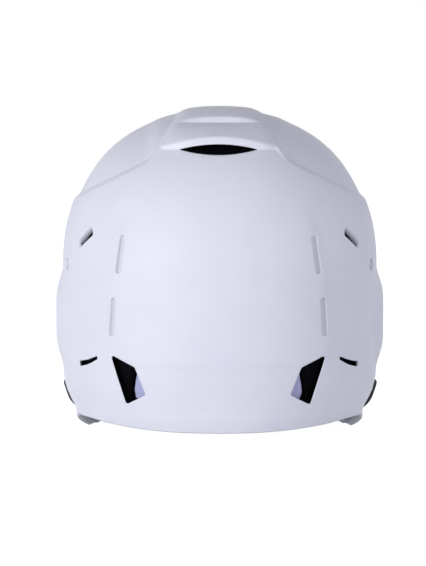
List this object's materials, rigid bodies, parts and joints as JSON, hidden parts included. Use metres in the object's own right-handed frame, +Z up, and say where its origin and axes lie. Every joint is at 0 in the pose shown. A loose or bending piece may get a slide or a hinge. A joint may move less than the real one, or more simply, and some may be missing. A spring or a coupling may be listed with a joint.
{
  "type": "softball batting helmet",
  "caption": "Hard-shell batting helmet with a bill, two ear flaps, foam pads inside, vents and a coated wire face guard on moulded clips.",
  "frame": {"origin": "middle of the overall length and width, at the level of the lower edges of the ear flaps and of the guard's chin wire", "axes": "+Z up; the front of the helmet, with its bill and guard, towards -Y; the wearer's left towards +X"},
  "size_m": [0.2318, 0.29, 0.2314],
  "materials": {
    "shell_plastic": "satin",
    "black_foam": "matte",
    "grey_foam": "matte",
    "band_fabric": "matte",
    "hook_and_loop": "matte",
    "coated_wire": "satin",
    "clip_plastic": "satin",
    "blackened_steel": "satin",
    "plated_steel": "polished"
  },
  "bodies": {
    "root": {"shell": "shell_plastic", "crown_pad": "black_foam", "front_pad": "black_foam", "brow_band": "band_fabric", "upper_back_pad": "black_foam", "back_pad": "grey_foam", "nape_pad": "black_foam", "side_pad_left": "black_foam", "side_pad_right": "black_foam", "occiput_pad_left": "black_foam", "occiput_pad_right": "black_foam", "rear_side_pad_left": "black_foam", "rear_side_pad_right": "black_foam", "ear_pad_left": "black_foam", "ear_pad_right": "black_foam", "jaw_pad_left": "black_foam", "jaw_pad_right": "black_foam", "pad_fasteners": "hook_and_loop", "face_guard": "coated_wire", "brow_clip_left": "clip_plastic", "brow_clip_right": "clip_plastic", "temple_clip_left": "clip_plastic", "temple_clip_right": "clip_plastic", "jaw_clip_left": "clip_plastic", "jaw_clip_right": "clip_plastic", "clip_screws": "blackened_steel", "clip_nuts": "plated_steel", "strap_studs": "plated_steel", "stud_backs": "plated_steel"}
  },
  "joints": []
}
